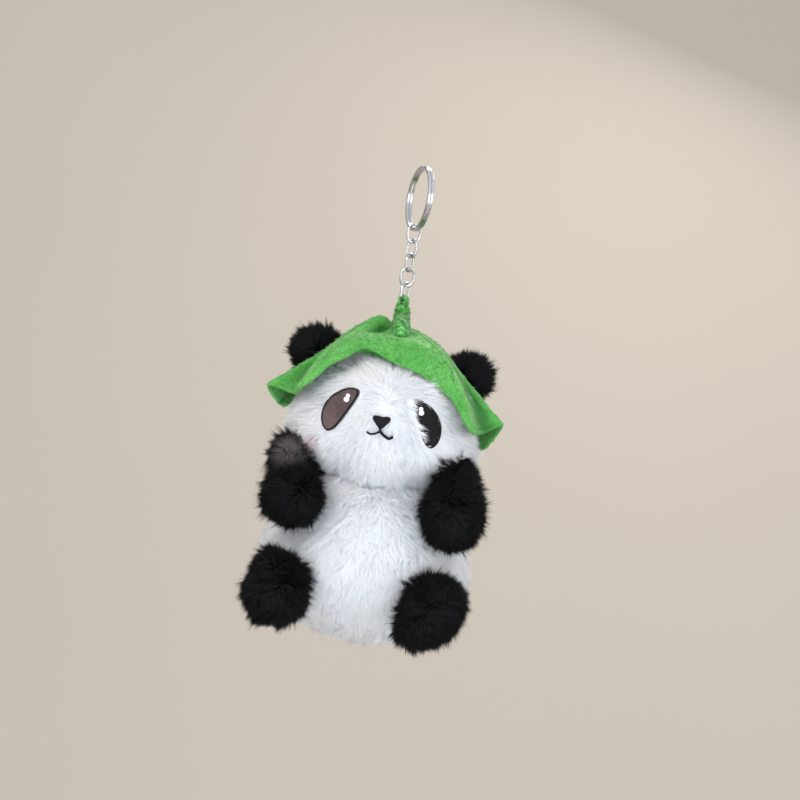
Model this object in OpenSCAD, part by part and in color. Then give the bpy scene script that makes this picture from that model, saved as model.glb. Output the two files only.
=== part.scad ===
// Plush panda key charm: a stuffed fur panda with a leaf hat, hung on a chain and a split ring.
// Origin: centre of the split ring. +Z up, the panda faces -Y, its own left side is +X.

/* [Split ring] */
// Outside diameter of the split ring
ring_od = 28; // [25:0.5:32]
// Radial thickness of the ring's flat wire
ring_wire_radial = 1.5; // [1.2:0.1:1.8]
// Axial width of one of the ring's two turns
ring_wire_axial = 1.2; // [1:0.1:1.4]
// Turn of the ring's axis from the panda's side, about the vertical
ring_turn = 19; // [0:1:60]

/* [Chain] */
// Outside length of a chain link
link_length = 8.5; // [7.5:0.1:9]
// Outside width of a chain link
link_width = 6.6; // [6:0.1:7]
// Diameter of the chain's wire
link_wire = 1.1; // [0.9:0.05:1.2]
// Number of chain links
link_count = 5; // [5:1:5]

/* [Head] */
// Half width of the head's skin
head_a = 37; // [35:0.5:38]
// Radius of the head's skin seen from the side
head_r = 32; // [31:0.5:33]
// Height of the head's centre
head_z = -91.5; // [-92:0.5:-91]
// Distance of the head's centre behind the chain
head_y = 3; // [2:0.5:4]

/* [Torso] */
// Half width of the torso's skin
torso_a = 43; // [41:0.5:44]
// Half depth of the torso's skin
torso_b = 36; // [34:0.5:37]
// Top of the torso's skin, hidden under the head
torso_top = -110; // [-112:0.5:-108]
// Bottom of the torso's skin
torso_bottom = -187.5; // [-189:0.5:-186]

/* [Fabric] */
// Thickness of the fur fabric's backing
skin = 1.6; // [1.2:0.1:2]
// Thickness of each of the leaf's two layers
leaf_layer = 0.9; // [0.7:0.1:1.1]
// Gap between soft parts that move against each other
soft_gap = 0.5; // [0.4:0.1:0.8]

/* [Hidden] */
$fn = 64;

white_fur = [0.93, 0.94, 0.96];
black_fur = [0.03, 0.03, 0.04];
leaf_green = [0.20, 0.66, 0.18];
steel = [0.78, 0.78, 0.80];
stuffing = [0.96, 0.95, 0.92];

// Chain. Each link's plane is turned about the vertical by its own angle, as a hanging chain twists.
link_turns = [ring_turn, -48, 60, -6, 56];
link_line = link_length - link_wire;                   // length of the wire's centre line
bow_r = (link_width - link_wire) / 2;                  // radius of the bows' centre line
link_pitch = link_line - link_wire - 0.1;              // from one link's top to the next one's
ring_inside = ring_od / 2 - ring_wire_radial;
first_link_top = -ring_inside + 1.1;                   // centre of the first link's wire, at its top
loop_z = first_link_top - (link_count - 1) * link_pitch - link_line;   // the last link's lowest wire centre

// Stem of the leaf, and the strip that is folded through the last link.
loop_hole_r = 1.2;
loop_strip = 0.9;
loop_width = 2.6;
stem_top = loop_z - 2.3;
stem_bottom = -57.4;
loop_bottom = -60.4;

// A ball stretched along Z.
module spheroid(r, half_length)
    rotate_extrude() intersection() {
        scale([r, half_length]) circle(r = 1);
        translate([0, -half_length - 1]) square([r + 1, 2 * half_length + 2]);
    }

// ---------- split ring ----------

// One turn of flat wire with slightly rounded corners, from start to end degrees.
module ring_turn_of_wire(start, sweep) {
    chamfer = 0.2;
    rotate([0, 0, start]) rotate_extrude(angle = sweep)
        polygon([
            [ring_inside + chamfer, 0], [ring_od / 2 - chamfer, 0], [ring_od / 2, chamfer],
            [ring_od / 2, ring_wire_axial - chamfer], [ring_od / 2 - chamfer, ring_wire_axial],
            [ring_inside + chamfer, ring_wire_axial], [ring_inside, ring_wire_axial - chamfer],
            [ring_inside, chamfer]
        ]);
}

// Two turns side by side, joined where the wire crosses from one to the other.
module split_ring() color(steel)
    rotate([0, 0, ring_turn]) rotate([0, 90, 0]) {
        gap = 0.04;
        translate([0, 0, -ring_wire_axial - gap / 2]) ring_turn_of_wire(204, 337);
        translate([0, 0, gap / 2]) ring_turn_of_wire(200, 336);
        translate([0, 0, -ring_wire_axial / 2]) ring_turn_of_wire(180, 21);
    }

// ---------- chain ----------

// A stadium of round wire in the XZ plane, with its top wire's centre at the origin.
module chain_link() {
    side = link_line - 2 * bow_r;
    for (end = [0, 1])
        translate([0, 0, -bow_r - end * side]) rotate([90, 180 * end, 0])
            rotate_extrude(angle = 180) translate([bow_r, 0]) circle(d = link_wire, $fn = 24);
    for (x = [-bow_r, bow_r])
        translate([x, 0, -bow_r - side]) cylinder(d = link_wire, h = side, $fn = 24);
}

module placed_link(number) color(steel)
    translate([0, 0, first_link_top - (number - 1) * link_pitch])
        rotate([0, 0, link_turns[number - 1]]) chain_link();

// ---------- leaf hat ----------

// The leaf's edge as [turn from the front towards the panda's left, reach from the stem, height].
leaf_edge = [
    [0, 29.5, -69.5], [20, 30.5, -72], [42, 34, -77], [60, 38.5, -88.5], [72, 43, -97],
    [84, 49, -89.5], [93, 43, -94.5], [103, 33, -83], [120, 23.5, -69.5], [148, 31, -76.5],
    [180, 36.5, -84.5], [212, 31, -76.5], [240, 23.5, -69.5], [257, 33, -83], [266, 43, -93.5],
    [274, 49.5, -87.5], [288, 42.5, -94.5], [300, 38, -84.5], [318, 33, -73.5], [340, 29, -67.5]
];
leaf_hole_r = 2.9;
leaf_a = head_a + 2.6;
leaf_b = head_r + 2.6;
leaf_c = head_r + 2.6;
leaf_steps = 9;
leaf_turns = 72;

function smooth(t) = t * t * (3 - 2 * t);
function spline(a, b, c, d, t) =
    0.5 * (2 * b + (c - a) * t + (2 * a - 5 * b + 4 * c - d) * t * t + (3 * b - a - 3 * c + d) * t * t * t);
function edge_point(i) =
    let (n = len(leaf_edge), lap = floor(i / n)) leaf_edge[i - lap * n] + [360 * lap, 0, 0];
function edge_index(turn, i = 0) =
    i + 1 >= len(leaf_edge) || leaf_edge[i + 1][0] > turn ? i : edge_index(turn, i + 1);
// [reach, height] of the edge at any turn
function edge_at(turn) =
    let (
        i = edge_index(turn),
        t = (turn - edge_point(i)[0]) / (edge_point(i + 1)[0] - edge_point(i)[0]),
        p = spline(edge_point(i - 1), edge_point(i), edge_point(i + 1), edge_point(i + 2), t)
    ) [p[1], p[2]];
// Height of the dome that the leaf lies on, running straight on past its shoulder
function dome(x, y) =
    let (
        rho = sqrt(pow(x / leaf_a, 2) + pow((y - head_y) / leaf_b, 2)),
        shoulder = 0.8,
        rim = sqrt(1 - shoulder * shoulder)
    ) head_z + leaf_c * (rho < shoulder ? sqrt(1 - rho * rho)
                         : rim - (rho - shoulder) * shoulder / rim);
// Height below which the leaf would dig into the head's fur
function resting(x, y) =
    let (
        lift = 2.4,
        rho2 = pow(x / (head_a + lift), 2) + pow((y - head_y) / (head_r + lift), 2)
    ) rho2 < 1 ? head_z + (head_r + lift) * sqrt(1 - rho2) : -1000;
// A fold rises along its own turn and fades towards the stem and the edge
function fold(turn, share, at, width, height) =
    let (off = abs(turn - at) > 180 ? 360 - abs(turn - at) : abs(turn - at))
    height * exp(-pow(off / width, 2)) * 4 * share * (1 - share);
function leaf_point(turn, share, drop) =
    let (
        edge = edge_at(turn),
        reach = leaf_hole_r + (edge[0] - leaf_hole_r) * share,
        x = reach * sin(turn),
        y = -reach * cos(turn),
        edge_lift = edge[1] - dome(edge[0] * sin(turn), -edge[0] * cos(turn)),
        folds = fold(turn, share, 285, 22, 2.6) + fold(turn, share, 75, 22, 1.6)
            + fold(turn, share, 345, 14, 1.2) + fold(turn, share, 200, 20, 1.5)
    ) [x, y, max(dome(x, y) + edge_lift * pow(share, 3) + folds, resting(x, y)) - drop];

// A ring-shaped sheet between two drops below the leaf's upper face.
module leaf_sheet(upper, under) {
    side = leaf_steps + 1;
    row = 2 * side;
    points = [
        for (i = [0:leaf_turns - 1], k = [0:row - 1])
            let (turn = 360 * i / leaf_turns)
            k < side ? leaf_point(turn, k / leaf_steps, upper)
                     : leaf_point(turn, (row - 1 - k) / leaf_steps, under)
    ];
    faces = [
        for (i = [0:leaf_turns - 1], k = [0:row - 1])
            let (j = (i + 1) % leaf_turns, m = (k + 1) % row)
            each k < side
                ? [[i * row + k, j * row + m, i * row + m], [i * row + k, j * row + k, j * row + m]]
                : [[i * row + k, j * row + k, i * row + m], [i * row + m, j * row + k, j * row + m]]
    ];
    polyhedron(points = points, faces = faces, convexity = 6);
}

module leaf_upper() color(leaf_green) leaf_sheet(0, leaf_layer);
module leaf_lower() color(leaf_green * 0.8) leaf_sheet(leaf_layer + 0.06, 2 * leaf_layer);

// Fabric tube that covers the folded strip and flares where it is sewn to the leaf.
module leaf_stem() color(leaf_green * 0.85)
    difference() {
        rotate_extrude()
            polygon([
                [0, stem_top], [2.7, stem_top], [3.2, stem_top - 1], [3.1, stem_top - 4],
                [3.3, stem_bottom + 3.5], [4.4, stem_bottom + 1.6], [4.8, stem_bottom + 0.9],
                [0, stem_bottom + 0.9]
            ]);
        translate([0, 0, stem_bottom - 1]) cylinder(r = 2.75, h = stem_top - stem_bottom + 2);
    }

module stem_loop() color(leaf_green * 0.85)
    translate([0, 0, loop_z]) rotate([0, 0, link_turns[link_count - 1]]) {
        outside = loop_hole_r + loop_strip;
        half_depth = outside - 0.2;
        leg = loop_z - loop_bottom;
        difference() {
            union() {
                rotate([0, 90, 0]) cylinder(r = outside, h = loop_width, center = true);
                translate([-loop_width / 2, -half_depth, -leg]) cube([loop_width, 2 * half_depth, leg]);
            }
            rotate([0, 90, 0]) cylinder(r = loop_hole_r, h = loop_width + 1, center = true);
            translate([-loop_width / 2 - 1, -loop_hole_r + 0.4, -leg + 2])
                cube([loop_width + 2, 2 * loop_hole_r - 0.8, leg - 2.4]);
        }
    }

// ---------- head ----------

module head_form(grow) translate([0, head_y, head_z])
    rotate([0, 90, 0]) spheroid(head_r + grow, head_a + grow);

module head_cover() color(white_fur)
    difference() {
        head_form(0);
        head_form(-skin);
        translate([0, 0, loop_bottom]) cylinder(r = 3, h = 10, center = true);
    }

module head_filling() color(stuffing)
    difference() {
        head_form(-skin - 0.05);
        translate([0, 0, loop_bottom]) cylinder(r = 3, h = 10, center = true);
    }

// Cuts a patch out of a thin layer on the front of the head. The children are the patch's outline.
module on_face(low, high) intersection() {
    difference() {
        head_form(high);
        head_form(low);
    }
    rotate([90, 0, 0]) linear_extrude(height = head_r + 10) children();
}

// Bean-shaped eye outline, for the panda's left eye, drawn as seen from the front.
eye_x = 19;
eye_z = -92.5;
eye_tilt = 29;
eye_half_length = 11;
eye_half_width = 4.9;
module eye_outline(shrink = 0) {
    steps = 28;
    bend = 2.2;
    translate([eye_x, eye_z]) rotate(eye_tilt)
        polygon([for (i = [0:steps - 1])
            let (t = 360 * i / steps, v = (eye_half_length - shrink) * sin(t))
            [(eye_half_width - shrink) * cos(t) * (1 - 0.12 * sin(t)) + bend * (1 - pow(v / eye_half_length, 2)) - 1, v]]);
}

module eye_patch(side) color([0.09, 0.06, 0.06])
    mirror([side < 0 ? 1 : 0, 0, 0]) on_face(0.1, 1.3) eye_outline();

// Two small highlights embroidered at the upper inner end of an eye.
module eye_glints(side) color("white")
    mirror([side < 0 ? 1 : 0, 0, 0]) on_face(1.32, 1.7) {
        translate([eye_x - 3.2, eye_z + 5.4]) circle(r = 1.35);
        translate([eye_x - 1.8, eye_z + 2.9]) circle(r = 0.8);
    }

nose_z = -95.2;
module nose() color([0.05, 0.05, 0.06])
    on_face(0.1, 2.2)
        translate([0, nose_z]) polygon([
            [-3.9, 1.2], [-3.2, 2.1], [0, 1.9], [3.2, 2.1], [3.9, 1.2],
            [3.5, -0.4], [1.6, -2.1], [0.5, -2.9], [-0.5, -2.9], [-1.6, -2.1], [-3.5, -0.4]
        ]);

// One half of the smile is an arc of thread, and a short line joins both to the nose.
mouth_r = 3;
mouth_thread = 0.55;
module mouth() color([0.05, 0.05, 0.06])
    on_face(0.1, 1.6) {
        translate([-mouth_thread / 2, nose_z - 4.4]) square([mouth_thread, 1.4]);
        for (side = [-1, 1])
            translate([side * (mouth_r - 0.15), nose_z - 4.3]) difference() {
                circle(r = mouth_r);
                circle(r = mouth_r - mouth_thread);
                translate([-mouth_r - 1, 0]) square([2 * mouth_r + 2, mouth_r + 1]);
                rotate(-90 + side * 52) translate([0, side < 0 ? -mouth_r - 1 : 0])
                    square([mouth_r + 1, mouth_r + 1]);
            }
    }

// ---------- ears ----------

ear_r = 9.5;
ear_half_thick = 4.5;
ear_at = [33, 13.5, -70];
module ear_form(side, grow)
    difference() {
        translate([side * ear_at[0], ear_at[1], ear_at[2]]) rotate([90, 0, 0])
            spheroid(ear_r + grow, ear_half_thick + grow);
        head_form(0.05 - grow);
    }

module ear_cover(side) color(black_fur)
    difference() {
        ear_form(side, 0);
        ear_form(side, -skin * 0.8);
    }

module ear_filling(side) color(stuffing) ear_form(side, -skin * 0.8 - 0.05);

// ---------- torso ----------

torso_rings = 18;
torso_sides = 32;
torso_y = 4;
torso_mid = (torso_top + torso_bottom) / 2;
torso_c = (torso_top - torso_bottom) / 2;
// Half width of the torso as a share of its widest, at a share of its half height
function torso_share(u) =
    let (h = cos(u)) pow(1 - pow(abs(h), 2.5), 1 / 2.5) * (1 - 0.11 * h) / 1.015;
function torso_point(u, v, grow) = [
    (torso_a + grow) * torso_share(u) * cos(v),
    torso_y + (torso_b + grow) * torso_share(u) * sin(v) * (sin(v) < 0 ? 1.03 : 0.94),
    torso_mid + (torso_c + grow) * cos(u)
];
module torso_form(grow) {
    rings = [for (i = [1:torso_rings - 1], j = [0:torso_sides - 1])
        torso_point(180 * i / torso_rings, 360 * j / torso_sides, grow)];
    last = len(rings);
    points = [each rings, torso_point(0, 0, grow), torso_point(180, 0, grow)];
    polyhedron(points = points, convexity = 4, faces = [
        for (j = [0:torso_sides - 1]) let (k = (j + 1) % torso_sides) each [
            [last, k, j],
            [last + 1, last - torso_sides + j, last - torso_sides + k],
            for (i = [0:torso_rings - 3]) each [
                [i * torso_sides + j, i * torso_sides + k, (i + 1) * torso_sides + k],
                [i * torso_sides + j, (i + 1) * torso_sides + k, (i + 1) * torso_sides + j]
            ]
        ]
    ]);
}

// Limb roots are balls in shallow seats, where the limb is sewn on.
arm_root = [31, -6, -120];
arm_root_r = 7;
paw = [35, -30, -131.5];
leg_root = [31, -17, -166];
leg_root_r = 9.5;
foot = [33, -38, -171.5];

module limb_seats(gap) for (side = [-1, 1]) {
    translate([side * arm_root[0], arm_root[1], arm_root[2]]) sphere(r = arm_root_r + gap);
    translate([side * leg_root[0], leg_root[1], leg_root[2]]) sphere(r = leg_root_r + gap);
}

module torso_cover() color(white_fur)
    difference() {
        torso_form(0);
        torso_form(-skin);
        head_form(soft_gap);
        limb_seats(soft_gap);
    }

module torso_filling() color(stuffing)
    difference() {
        torso_form(-skin - 0.05);
        head_form(soft_gap);
        limb_seats(soft_gap);
    }

// ---------- arms and legs ----------

// A stretched ball between two points, pushed off their middle.
module bridge(from, to, push, r, half_length) {
    way = to - from;
    translate((from + to) / 2 + push)
        rotate([0, acos(way[2] / norm(way)), atan2(way[1], way[0])]) spheroid(r, half_length);
}

module arm_form(side, grow) mirror([side < 0 ? 1 : 0, 0, 0]) {
    translate(arm_root) sphere(r = arm_root_r + grow);
    bridge(arm_root, paw, [3.5, -2.5, 2], 7.5 + grow, 15 + grow);
    translate(paw) sphere(r = 11.5 + grow);
}

module arm_cover(side) color(black_fur)
    difference() {
        arm_form(side, 0);
        arm_form(side, -skin);
    }

module arm_filling(side) color(stuffing) arm_form(side, -skin - 0.05);

module leg_form(side, grow) mirror([side < 0 ? 1 : 0, 0, 0]) {
    translate(leg_root) sphere(r = leg_root_r + grow);
    bridge(leg_root, foot, [3, -4, 2], 8 + grow, 11 + grow);
    translate(foot) rotate([0, -30, 0]) spheroid(12.3 + grow, 15.8 + grow);
}

module leg_cover(side) color(black_fur)
    difference() {
        leg_form(side, 0);
        leg_form(side, -skin);
    }

module leg_filling(side) color(stuffing) leg_form(side, -skin - 0.05);

split_ring();
placed_link(1);  // chain_link_1
placed_link(2);  // chain_link_2
placed_link(3);  // chain_link_3
placed_link(4);  // chain_link_4
placed_link(5);  // chain_link_5
stem_loop();
leaf_stem();
leaf_upper();
leaf_lower();
head_cover();
head_filling();
eye_patch(-1);  // eye_patch_right
eye_patch(1);  // eye_patch_left
eye_glints(-1);  // eye_glints_right
eye_glints(1);  // eye_glints_left
nose();
mouth();
ear_cover(-1);  // ear_right
ear_cover(1);  // ear_left
ear_filling(-1);  // ear_right_filling
ear_filling(1);  // ear_left_filling
torso_cover();
torso_filling();
arm_cover(-1);  // arm_right_cover
arm_filling(-1);  // arm_right_filling
arm_cover(1);  // arm_left_cover
arm_filling(1);  // arm_left_filling
leg_cover(-1);  // leg_right_cover
leg_filling(-1);  // leg_right_filling
leg_cover(1);  // leg_left_cover
leg_filling(1);  // leg_left_filling
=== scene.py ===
"""A plush panda key charm: a fur toy with a leaf hat, hung on a chain and a split ring.

Lengths are in millimetres until a mesh is made. Lights, camera and floor are in metres.
"""

import math
from functools import partial

import bpy
import numpy as np
from mathutils import Matrix, Vector
from mathutils.bvhtree import BVHTree
from mathutils.kdtree import KDTree


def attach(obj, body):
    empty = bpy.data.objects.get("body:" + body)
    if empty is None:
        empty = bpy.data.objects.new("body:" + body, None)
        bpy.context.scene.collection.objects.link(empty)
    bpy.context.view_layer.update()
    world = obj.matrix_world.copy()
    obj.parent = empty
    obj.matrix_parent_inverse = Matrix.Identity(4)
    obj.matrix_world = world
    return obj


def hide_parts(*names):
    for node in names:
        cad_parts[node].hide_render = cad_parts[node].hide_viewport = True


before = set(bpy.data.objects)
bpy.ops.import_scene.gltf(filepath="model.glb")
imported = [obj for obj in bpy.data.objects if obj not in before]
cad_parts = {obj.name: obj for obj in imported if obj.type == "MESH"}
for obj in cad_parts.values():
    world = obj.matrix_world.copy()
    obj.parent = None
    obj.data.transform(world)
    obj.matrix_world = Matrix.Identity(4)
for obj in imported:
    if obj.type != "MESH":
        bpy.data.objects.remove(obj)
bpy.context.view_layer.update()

MM = 0.001
FLOOR_SIZE, FLOOR_HEIGHT = 6, -0.75  # metres
SWEEP_START, SWEEP_LENGTH, SWEEP_RISE = 500, 900, 1800  # where the floor curves up behind the toy
FULL_TURN = 2 * math.pi

HEAD_CENTRE = np.array([0.0, 3.0, -91.5])
NOSE_ROOT = np.array([0.0, -29.0, -94.0])


# ---------- camera and light ----------


def add_camera():
    """Looks straight at the toy's front, held at a lean so that the hanging toy slants in the frame."""
    distance, lean, frame_width = 1.19, math.radians(9), 0.339
    centre = Vector((0.0051, 0, -0.0856))
    data = bpy.data.cameras.new("camera")
    data.sensor_width = 36
    data.lens = data.sensor_width * distance / frame_width
    camera = bpy.data.objects.new("camera", data)
    bpy.context.collection.objects.link(camera)
    right = Vector((math.cos(lean), 0, math.sin(lean)))
    up = Vector((-math.sin(lean), 0, math.cos(lean)))
    back = Vector((0, -1, 0))
    place = Matrix((right, up, back)).transposed().to_4x4()
    place.translation = centre + back * distance
    camera.matrix_world = place
    bpy.context.scene.camera = camera


def add_light(name, place, target, size, power, colour):
    data = bpy.data.lights.new(name, "AREA")
    data.shape, data.size, data.energy, data.color = "DISK", size, power, colour
    light = bpy.data.objects.new(name, data)
    bpy.context.collection.objects.link(light)
    light.location = place
    light.rotation_euler = (Vector(target) - Vector(place)).to_track_quat("-Z", "Y").to_euler()


def add_studio():
    """Soft light from all round: a pale sky and four area lights. The pale floor that sweeps up into a
    backdrop is made at the end of the build.
    """
    world = bpy.data.worlds.new("studio")
    world.use_nodes = True
    world.node_tree.nodes["Background"].inputs["Color"].default_value = (0.92, 0.95, 1.0, 1)
    world.node_tree.nodes["Background"].inputs["Strength"].default_value = 1.0
    bpy.context.scene.world = world
    bpy.context.scene.view_settings.view_transform = "Standard"
    middle = (0, 0, -0.11)
    add_light("key", (-0.55, -0.85, 0.35), middle, 0.6, 5.5, (1.0, 0.96, 0.91))
    add_light("fill", (0.85, -0.65, 0.0), middle, 0.8, 3.4, (0.92, 0.95, 1.0))
    add_light("rim", (0.25, 0.7, 0.5), middle, 0.6, 5, (1.0, 0.95, 0.88))
    add_light("bounce", (0.05, -0.75, -0.5), middle, 0.7, 4.8, (0.80, 0.89, 1.0))


# ---------- small tools ----------


def alone(piece=None):
    """Selects one piece and nothing else."""
    if bpy.context.object and bpy.context.object.mode != "OBJECT":
        bpy.ops.object.mode_set(mode="OBJECT")
    bpy.ops.object.select_all(action="DESELECT")
    if piece:
        piece.select_set(True)
        bpy.context.view_layer.objects.active = piece
    return piece


def settled(piece):
    """Puts a piece's place, turn and scale into its mesh."""
    alone(piece)
    bpy.ops.object.transform_apply(location=True, rotation=True, scale=True)
    return piece


def finished(piece, kind, **settings):
    """Adds a modifier with its settings and applies it."""
    alone(piece)
    modifier = piece.modifiers.new(kind.lower(), kind)
    for key, value in settings.items():
        setattr(modifier, key, value)
    bpy.ops.object.modifier_apply(modifier=modifier.name)
    return piece


def joined(name, pieces):
    alone(pieces[0])
    for piece in pieces:
        piece.select_set(True)
    bpy.ops.object.join()
    whole = bpy.context.object
    whole.name = name
    return settled(whole)


def smooth(piece):
    alone(piece)
    bpy.ops.object.shade_smooth()
    return piece


def points_of(piece):
    flat = np.empty(len(piece.data.vertices) * 3)
    piece.data.vertices.foreach_get("co", flat)
    return flat.reshape(-1, 3) / MM


def move_points(piece, points):
    piece.data.vertices.foreach_set("co", (np.asarray(points) * MM).ravel())
    piece.data.update()


def unit(vectors):
    return vectors / np.maximum(np.linalg.norm(vectors, axis=-1, keepdims=True), 1e-9)


def mesh_piece(name, points, faces):
    """A piece from points and faces of equal size, both arrays."""
    mesh = bpy.data.meshes.new(name)
    size = faces.shape[1]
    mesh.vertices.add(len(points))
    mesh.vertices.foreach_set("co", (points * MM).ravel())
    mesh.loops.add(faces.size)
    mesh.loops.foreach_set("vertex_index", faces.ravel().astype(np.int32))
    mesh.polygons.add(len(faces))
    mesh.polygons.foreach_set("loop_start", np.arange(0, faces.size, size, dtype=np.int32))
    mesh.update(calc_edges=True)
    piece = bpy.data.objects.new(name, mesh)
    bpy.context.collection.objects.link(piece)
    return piece


# ---------- stuffed forms ----------


def ball(centre, radii, turn=(0, 0, 0)):
    alone()
    bpy.ops.mesh.primitive_uv_sphere_add(segments=40, ring_count=20, radius=MM,
                                         location=[c * MM for c in centre],
                                         rotation=[math.radians(a) for a in turn])
    piece = bpy.context.object
    piece.scale = radii
    return piece


def puffed(piece, pressure=4.0, most=1.2):
    """Swells a cover under its stuffing, and caps how far it moves."""
    before = points_of(piece)
    alone(piece)
    cloth = piece.modifiers.new("stuffing", "CLOTH")
    cloth.settings.use_pressure = True
    cloth.settings.uniform_pressure_force = pressure
    cloth.settings.effector_weights.gravity = 0
    for moment in range(1, 21):
        bpy.context.scene.frame_set(moment)
    bpy.ops.object.modifier_apply(modifier=cloth.name)
    bpy.context.scene.frame_set(1)
    moved = points_of(piece) - before
    reach = np.linalg.norm(moved, axis=1, keepdims=True)
    move_points(piece, before + moved * np.minimum(1, most / np.maximum(reach, 1e-6)))
    return piece


def stuffed(name, balls, voxel=2.0, rounds=6, swell=True):
    """One closed cover around several balls of stuffing."""
    piece = joined(name, [ball(*one) for one in balls])
    finished(piece, "REMESH", mode="VOXEL", voxel_size=voxel * MM)
    finished(piece, "SMOOTH", factor=0.5, iterations=rounds)
    if swell:
        puffed(piece)
    return smooth(piece)


# ---------- fur ----------


def spread(piece, count, seed):
    """Random points evenly over a piece's faces, with their normals."""
    mesh = piece.data
    mesh.calc_loop_triangles()
    corners = np.empty(len(mesh.loop_triangles) * 3, dtype=np.int32)
    mesh.loop_triangles.foreach_get("vertices", corners)
    corners = corners.reshape(-1, 3)
    points = points_of(piece)
    normals = np.empty(len(mesh.vertices) * 3)
    mesh.vertices.foreach_get("normal", normals)
    normals = normals.reshape(-1, 3)
    a, b, c = (points[corners[:, k]] for k in range(3))
    area = np.linalg.norm(np.cross(b - a, c - a), axis=1)
    draw = np.random.default_rng(seed)
    pick = draw.choice(len(corners), size=count, p=area / area.sum())
    u, v = draw.random(count), draw.random(count)
    over = u + v > 1
    u[over], v[over] = 1 - u[over], 1 - v[over]
    share = np.stack([1 - u - v, u, v], axis=1)[:, :, None]
    return ((points[corners[pick]] * share).sum(1), unit((normals[corners[pick]] * share).sum(1)))


def sway(points, wavelength, seed):
    """Smooth random directions that change over a wavelength, as locks of fur do."""
    draw = np.random.default_rng(seed)
    total = np.zeros_like(points)
    waves = 7
    for _ in range(waves):
        way = unit(draw.normal(size=3)) * FULL_TURN / wavelength * draw.uniform(0.6, 1.6)
        total += np.sin(points @ way + draw.uniform(0, FULL_TURN))[:, None] * draw.normal(size=3)
    return total / math.sqrt(waves)


def depth_inside(tree, points, reach=12.0):
    """How deep each point is inside a closed form, negative outside it, up to a reach."""
    depth = np.full(len(points), -reach)
    for i, point in enumerate(points):
        place, normal, _, distance = tree.find_nearest(point, reach)
        if place is not None:
            depth[i] = distance if (Vector(point) - place).dot(normal) < 0 else -distance
    return depth


def tree_of(piece):
    return BVHTree.FromPolygons(points_of(piece).tolist(), [tuple(p.vertices) for p in piece.data.polygons])


def gathered(roots, tips, normals, lock, pull, seed):
    """Draws neighbouring hairs together into pointed locks.

    Returns tips, shading normals and a tone per lock.
    """
    draw = np.random.default_rng(seed)
    middles = draw.choice(len(roots), size=max(1, int(len(roots) / lock)), replace=False)
    tree = KDTree(len(middles))
    for k, middle in enumerate(middles):
        tree.insert(roots[middle], k)
    tree.balance()
    found = [tree.find(root)[1:] for root in roots]
    which = np.array([one[0] for one in found])
    spacing = 1.5 * np.mean([one[1] for one in found])
    grown = draw.uniform(0.8, 1.1, len(middles)) * np.where(draw.random(len(middles)) < 0.12, 1.35, 1.0)
    long = np.linalg.norm(tips - roots, axis=1, keepdims=True) * grown[which][:, None]
    nearest = middles[which]
    share = pull * draw.uniform(0.6, 1.0, (len(roots), 1))
    tips = roots + unit(tips + (tips[nearest] - tips) * share - roots) * long
    shading = unit(normals + 0.6 * (roots - roots[nearest]) / spacing)
    tone = 0.65 * draw.random(len(middles))[which] + 0.35 * draw.random(len(roots))
    return tips, shading, tone


def pile(name, roots, tips, half_width, normals, tones, seed, side_share=0.3):
    """Many closed three-sided hairs in one mesh. Their shading follows the cover under them."""
    draw = np.random.default_rng(seed)
    count = len(roots)
    along = unit(tips - roots)
    across = unit(np.cross(along, draw.normal(size=(count, 3))))
    other = np.cross(along, across)
    width = half_width * draw.uniform(0.7, 1.25, (count, 1))
    points = np.empty((count, 4, 3))
    outward = np.empty((count, 4, 3))
    for k in range(3):
        turn = FULL_TURN * k / 3
        side = across * math.cos(turn) + other * math.sin(turn)
        points[:, k] = roots + side * width
        outward[:, k] = unit(normals + side * side_share)
    points[:, 3] = tips
    outward[:, 3] = unit(normals + along * side_share)
    start = 4 * np.arange(count)[:, None, None]
    faces = (start + np.array([[0, 2, 1], [0, 1, 3], [1, 2, 3], [2, 0, 3]])).reshape(-1, 3)
    piece = mesh_piece(name, points.reshape(-1, 3), faces)
    mesh = piece.data
    mesh.shade_smooth()
    mesh.normals_split_custom_set_from_vertices(outward.reshape(-1, 3))
    tip = mesh.attributes.new("tip", "FLOAT", "POINT")
    tip.data.foreach_set("value", np.tile([0.0, 0.0, 0.0, 1.0], count))
    lock = mesh.attributes.new("lock", "FLOAT", "POINT")
    lock.data.foreach_set("value", np.repeat(tones, 4))
    return piece


# ---------- materials ----------


class Value:
    """A socket of a material's nodes. Arithmetic on it adds the nodes that work it out."""

    def __init__(self, paint, socket):
        self.paint, self.socket = paint, socket

    def maths(self, operation, *others, swap=False):
        terms = [self, *others]
        if swap:
            terms.reverse()
        return self.paint.node("ShaderNodeMath", {"operation": operation}, *terms)

    def __add__(self, other):
        return self.maths("ADD", other)

    __radd__ = __add__

    def __sub__(self, other):
        return self.maths("SUBTRACT", other)

    def __rsub__(self, other):
        return self.maths("SUBTRACT", other, swap=True)

    def __mul__(self, other):
        return self.maths("MULTIPLY", other)

    __rmul__ = __mul__

    def __truediv__(self, other):
        return self.maths("DIVIDE", other)

    def __pow__(self, other):
        return self.maths("POWER", other)

    def sine(self):
        return self.maths("SINE")

    def size(self):
        return self.maths("ABSOLUTE")

    def within(self, low, high):
        """0 below low, 1 above high, smooth between."""
        return self.paint.node("ShaderNodeMapRange", {"interpolation_type": "SMOOTHSTEP"}, self, low, high)


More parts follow.
